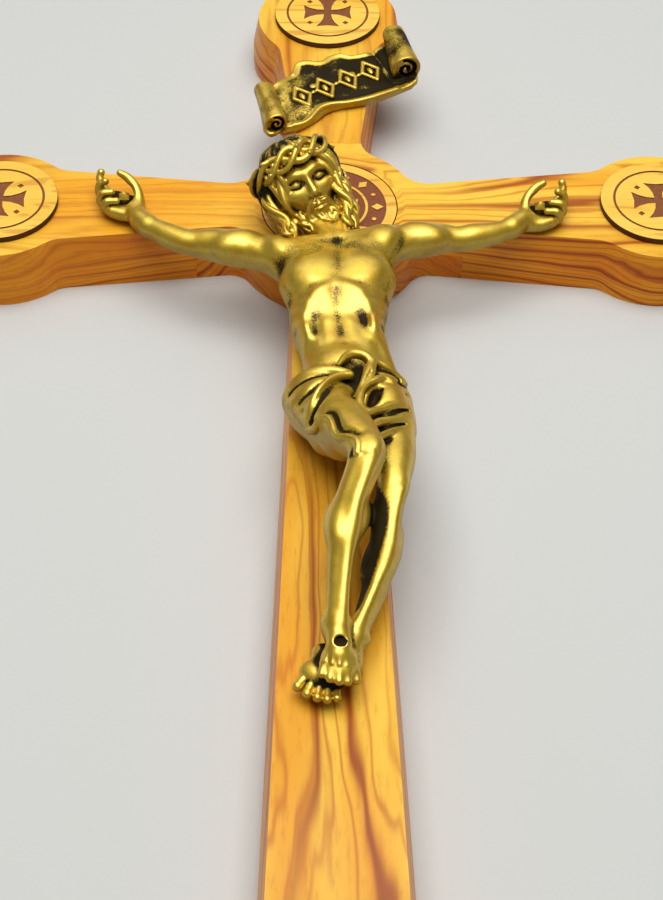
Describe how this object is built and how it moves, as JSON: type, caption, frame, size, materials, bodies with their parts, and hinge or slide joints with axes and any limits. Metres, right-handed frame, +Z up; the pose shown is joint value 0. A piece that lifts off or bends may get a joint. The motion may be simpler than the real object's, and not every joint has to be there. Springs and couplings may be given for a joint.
{
  "type": "crucifix",
  "caption": "Wall crucifix: half-lapped wooden cross with round lobed ends, glued discs and medallion, cast figure and scroll, hanging ring.",
  "frame": {"origin": "on the flat back face, behind the middle of the crossing", "axes": "+Z up the upright, +X to the viewer's right, +Y into the wall; the front faces -Y"},
  "size_m": [0.2692, 0.0541, 0.4327],
  "materials": {
    "upright_wood": "oiled olive wood, grain along the upright",
    "crossbar_wood": "oiled olive wood, grain along the crossbar",
    "medallion_wood": "pale wood with a burnt band",
    "disc_wood": "pale cut disc with burnt edge and line",
    "cast_metal": "antique gold casting with darkened hollows",
    "nail_metal": "dark nail",
    "hanger_steel": "zinc plated",
    "screw_steel": "zinc plated"
  },
  "bodies": {
    "cross": {"upright": "upright_wood", "crossbar": "crossbar_wood", "medallion": "medallion_wood", "top_disc": "disc_wood", "left_disc": "disc_wood", "right_disc": "disc_wood", "bottom_disc": "disc_wood", "titulus_scroll": "cast_metal", "titulus_pins": "cast_metal", "corpus": "cast_metal", "hand_nails": "cast_metal", "foot_nail": "nail_metal", "hanger_strap": "hanger_steel", "hanger_screw": "screw_steel"},
    "ring": {"hanger_ring": "hanger_steel"}
  },
  "joints": [
    {"name": "ring_hinge", "type": "hinge", "parent": "cross", "child": "ring", "pos_m": [0, -0.00284, 0.082], "axis": [1, 0, 0], "range_deg": [0, 180]}
  ]
}
